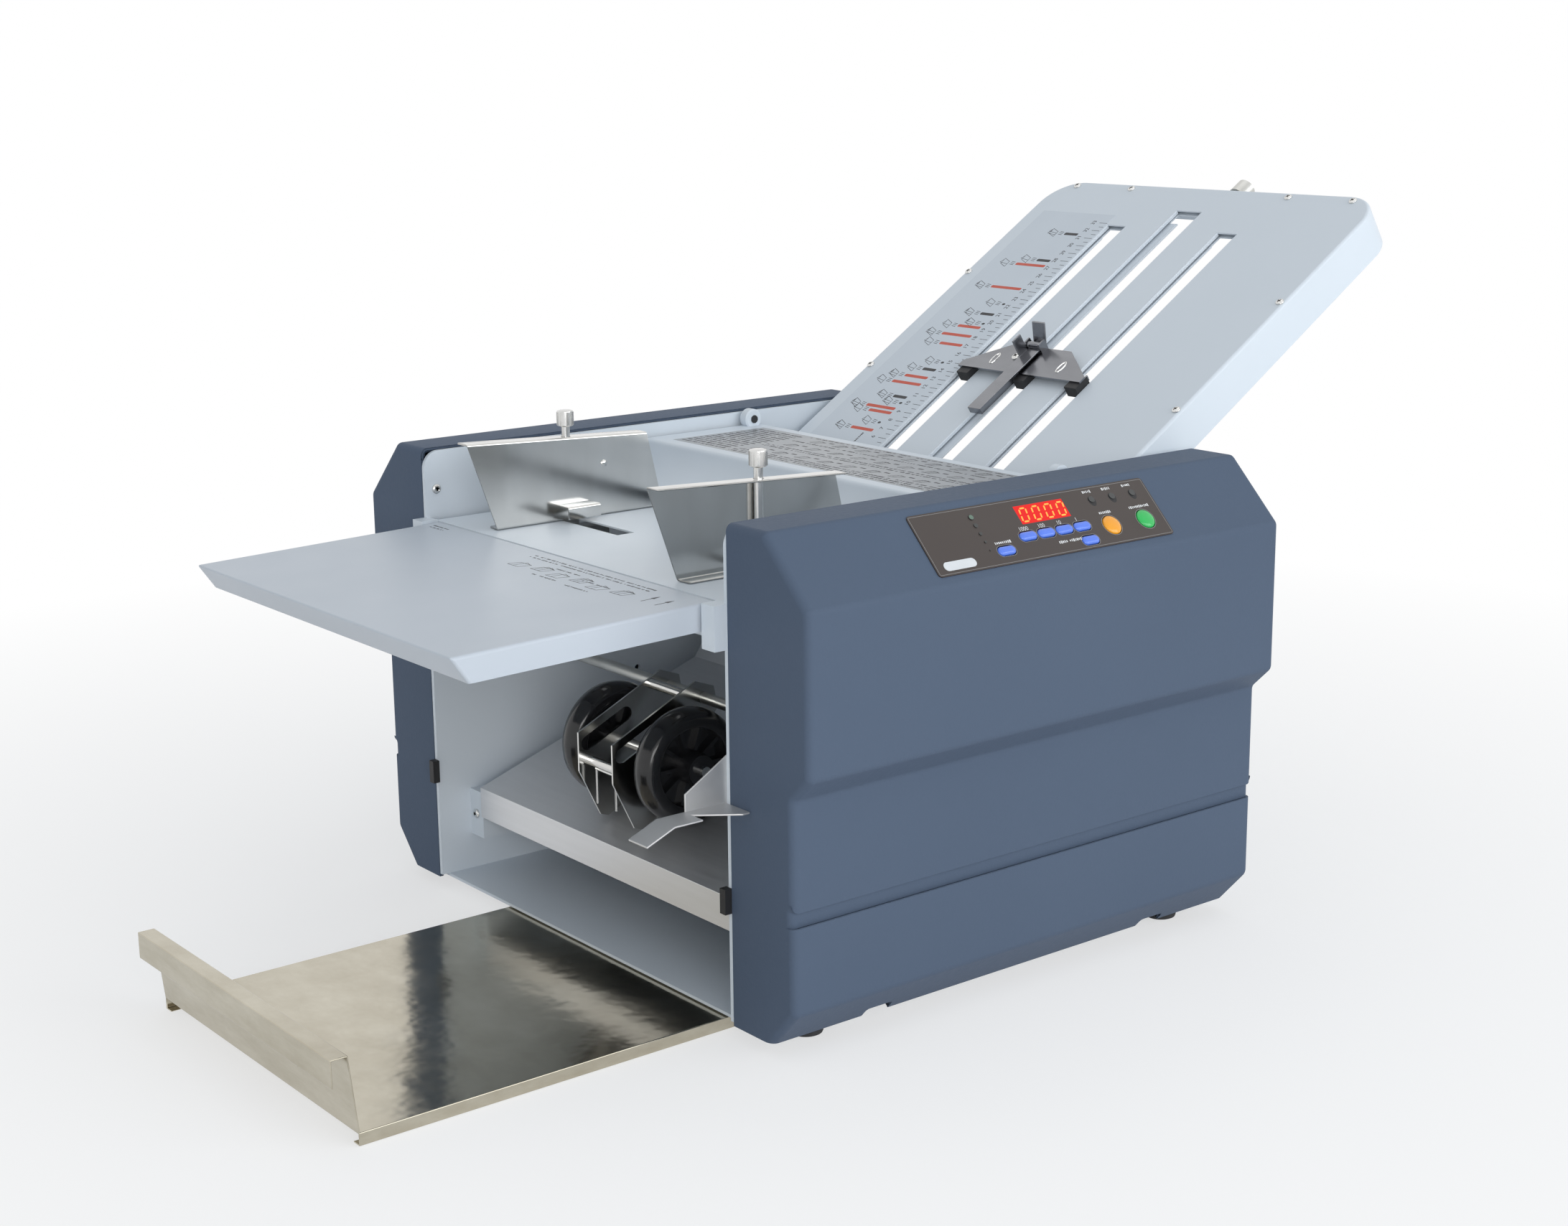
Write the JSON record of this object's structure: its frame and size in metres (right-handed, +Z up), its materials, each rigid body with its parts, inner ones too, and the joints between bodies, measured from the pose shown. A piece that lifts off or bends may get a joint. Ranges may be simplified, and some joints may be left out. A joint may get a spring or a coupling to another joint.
{
  "type": "paper folding machine",
  "caption": "Desktop buckle-type paper folding machine with feed tray, side guides, slotted fold plate, stacker wheels, pull-out exit tray and button panel.",
  "frame": {"origin": "on the ground under the middle of the whole machine's bounding box", "axes": "+X the way sheets are fed, from the feed tray towards the fold plate; +Y towards the drive side; +Z up"},
  "size_m": [0.8864, 0.499, 0.4829],
  "materials": {
    "cover": "fine-grained slate grey moulding",
    "light_paint": "satin light grey powder coat",
    "dark_sheet": "satin",
    "stainless": "brushed stainless sheet",
    "bright_metal": "bright nickel plate",
    "zinc": "zinc plated",
    "black_plastic": "glossy black moulding",
    "black_matte": "matt black",
    "rubber": "matt rubber",
    "cork_rubber": "ribbed friction rubber",
    "panel_print": "dark printed film",
    "red_glass": "red tinted window",
    "lamp_lens": "dark lens",
    "blue_key": "blue",
    "orange_key": "orange",
    "green_key": "green",
    "board_green": "solder mask",
    "motor_paint": "black enamel",
    "brass": "sintered bronze"
  },
  "bodies": {
    "machine": {"base_plate": "light_paint", "feet": "rubber", "operator_frame": "light_paint", "drive_frame": "light_paint", "operator_cover": "cover", "operator_base_cover": "cover", "drive_cover": "cover", "drive_base_cover": "cover", "cover_latches": "black_matte", "frame_screws": "bright_metal", "plate_screws": "bright_metal", "cross_bars": "zinc", "feed_table": "light_paint", "separator_pad": "cork_rubber", "roller_bushes": "brass", "fold_plate_panel": "light_paint", "fold_plate_back": "light_paint", "lower_fold_plate": "light_paint", "exit_chute": "stainless", "carrier_bar": "zinc", "sheet_deflector": "stainless", "control_fascia": "panel_print", "display_window": "red_glass", "status_lamps": "lamp_lens", "control_board": "board_green", "motor_body": "motor_paint", "power_inlet": "black_matte", "drive_belts": "rubber"},
    "feed_tray": {"feed_tray": "light_paint"},
    "drive_guide": {"drive_guide": "stainless"},
    "operator_guide": {"operator_guide": "stainless"},
    "drive_guide_knob": {"drive_guide_knob": "bright_metal"},
    "operator_guide_knob": {"operator_guide_knob": "bright_metal"},
    "top_cover": {"top_cover": "light_paint"},
    "stop_lever": {"stop_lever": "stainless"},
    "fold_plate_knob": {"fold_plate_knob": "zinc"},
    "lower_stop": {"lower_stop": "stainless"},
    "exit_tray": {"exit_tray": "stainless"},
    "feed_roller": {"feed_roller": "rubber"},
    "fold_roller_1": {"fold_roller_1": "rubber"},
    "fold_roller_2": {"fold_roller_2": "rubber"},
    "fold_roller_3": {"fold_roller_3": "rubber"},
    "fold_roller_4": {"fold_roller_4": "rubber"},
    "motor_pulley": {"motor_pulley": "zinc"},
    "speed_key": {"speed_key": "blue_key"},
    "clear_key": {"clear_key": "blue_key"},
    "digit_key_1": {"digit_key_1": "blue_key"},
    "digit_key_2": {"digit_key_2": "blue_key"},
    "digit_key_3": {"digit_key_3": "blue_key"},
    "digit_key_4": {"digit_key_4": "blue_key"},
    "test_key": {"test_key": "orange_key"},
    "start_key": {"start_key": "green_key"},
    "power_rocker": {"power_rocker": "black_matte"},
    "fold_stop": {"fold_stop": "stainless", "stop_shoes": "black_matte"},
    "wheel_carrier": {"wheel_carrier": "stainless", "carrier_wire": "bright_metal"},
    "stacker_wheels": {"stacker_wheels": "black_plastic", "wheel_shaft": "bright_metal"}
  },
  "joints": [
    {"name": "tray_fold", "type": "hinge", "parent": "machine", "child": "feed_tray", "pos_m": [-0.1851, 0, 0.26634], "axis": [0, 1, 0], "range_deg": [0, 75]},
    {"name": "drive_guide_slide", "type": "slide", "parent": "machine", "child": "drive_guide", "axis": [0, 1, 0], "range_m": [-0.056, 0.049]},
    {"name": "operator_guide_slide", "type": "slide", "parent": "machine", "child": "operator_guide", "axis": [0, -1, 0], "range_m": [-0.056, 0.049]},
    {"name": "drive_knob_turn", "type": "hinge", "parent": "drive_guide", "child": "drive_guide_knob", "pos_m": [-0.10571, 0.108, 0.3356], "axis": [0, 0, 1], "range_deg": [-180, 180]},
    {"name": "operator_knob_turn", "type": "hinge", "parent": "operator_guide", "child": "operator_guide_knob", "pos_m": [-0.10571, -0.108, 0.3356], "axis": [0, 0, 1], "range_deg": [-180, 180]},
    {"name": "top_cover_lift", "type": "hinge", "parent": "machine", "child": "top_cover", "pos_m": [0.09679, 0, 0.313], "axis": [0, 1, 0], "range_deg": [0, 100]},
    {"name": "fold_stop_slide", "type": "slide", "parent": "machine", "child": "fold_stop", "axis": [0.8434, 0, 0.5373], "range_m": [-0.075, 0.175]},
    {"name": "stop_lever_tip", "type": "hinge", "parent": "fold_stop", "child": "stop_lever", "pos_m": [0.23593, 0, 0.37131], "axis": [0, 1, 0], "range_deg": [0, 8]},
    {"name": "plate_knob_turn", "type": "hinge", "parent": "machine", "child": "fold_plate_knob", "pos_m": [0.42569, -0.0175, 0.46802], "axis": [0.8434, 0, 0.5373], "range_deg": [-180, 180]},
    {"name": "lower_stop_slide", "type": "slide", "parent": "machine", "child": "lower_stop", "axis": [0, 0, 1], "range_m": [-0.07, 0.085]},
    {"name": "carrier_lift", "type": "hinge", "parent": "machine", "child": "wheel_carrier", "pos_m": [-0.08621, 0, 0.166], "axis": [0, 1, 0], "range_deg": [0, 25]},
    {"name": "stacker_spin", "type": "hinge", "parent": "wheel_carrier", "child": "stacker_wheels", "pos_m": [-0.11741, 0, 0.1308], "axis": [0, 1, 0], "continuous": true},
    {"name": "exit_tray_slide", "type": "slide", "parent": "machine", "child": "exit_tray", "axis": [1, 0, 0], "range_m": [0, 0.2]},
    {"name": "fold_roller_2_spin", "type": "hinge", "parent": "machine", "child": "fold_roller_2", "pos_m": [0.1088, 0, 0.25446], "axis": [0, 1, 0], "continuous": true},
    {"name": "fold_roller_1_spin", "type": "hinge", "parent": "machine", "child": "fold_roller_1", "pos_m": [0.09037, 0, 0.28339], "axis": [0, 1, 0], "continuous": true},
    {"name": "fold_roller_3_spin", "type": "hinge", "parent": "machine", "child": "fold_roller_3", "pos_m": [0.14297, 0, 0.25147], "axis": [0, 1, 0], "continuous": true},
    {"name": "fold_roller_4_spin", "type": "hinge", "parent": "machine", "child": "fold_roller_4", "pos_m": [0.10582, 0, 0.22029], "axis": [0, 1, 0], "continuous": true},
    {"name": "feed_roller_spin", "type": "hinge", "parent": "machine", "child": "feed_roller", "pos_m": [0.01679, 0, 0.2886], "axis": [0, 1, 0], "continuous": true},
    {"name": "motor_spin", "type": "hinge", "parent": "machine", "child": "motor_pulley", "pos_m": [-0.00321, 0, 0.066], "axis": [0, 1, 0], "continuous": true},
    {"name": "speed_key_press", "type": "slide", "parent": "machine", "child": "speed_key", "axis": [0, 0.7106, -0.7036], "range_m": [0, 0.001], "stiffness_N_per_m": 400},
    {"name": "clear_key_press", "type": "slide", "parent": "machine", "child": "clear_key", "axis": [0, 0.7106, -0.7036], "range_m": [0, 0.001], "stiffness_N_per_m": 400},
    {"name": "digit_key_1_press", "type": "slide", "parent": "machine", "child": "digit_key_1", "axis": [0, 0.7106, -0.7036], "range_m": [0, 0.001], "stiffness_N_per_m": 400},
    {"name": "digit_key_2_press", "type": "slide", "parent": "machine", "child": "digit_key_2", "axis": [0, 0.7106, -0.7036], "range_m": [0, 0.001], "stiffness_N_per_m": 400},
    {"name": "digit_key_3_press", "type": "slide", "parent": "machine", "child": "digit_key_3", "axis": [0, 0.7106, -0.7036], "range_m": [0, 0.001], "stiffness_N_per_m": 400},
    {"name": "digit_key_4_press", "type": "slide", "parent": "machine", "child": "digit_key_4", "axis": [0, 0.7106, -0.7036], "range_m": [0, 0.001], "stiffness_N_per_m": 400},
    {"name": "test_key_press", "type": "slide", "parent": "machine", "child": "test_key", "axis": [0, 0.7106, -0.7036], "range_m": [0, 0.001], "stiffness_N_per_m": 400},
    {"name": "start_key_press", "type": "slide", "parent": "machine", "child": "start_key", "axis": [0, 0.7106, -0.7036], "range_m": [0, 0.001], "stiffness_N_per_m": 400},
    {"name": "rocker_tip", "type": "hinge", "parent": "machine", "child": "power_rocker", "pos_m": [0.20859, 0.102, 0.04], "axis": [0, 1, 0], "range_deg": [-14, 0]}
  ],
  "couplings": [
    {"joint": "fold_roller_1_spin", "follows": "fold_roller_2_spin", "ratio": -1},
    {"joint": "fold_roller_3_spin", "follows": "fold_roller_2_spin", "ratio": -1},
    {"joint": "fold_roller_4_spin", "follows": "fold_roller_2_spin", "ratio": -1},
    {"joint": "feed_roller_spin", "follows": "fold_roller_2_spin", "ratio": -1},
    {"joint": "motor_spin", "follows": "fold_roller_2_spin", "ratio": 1.8333}
  ]
}
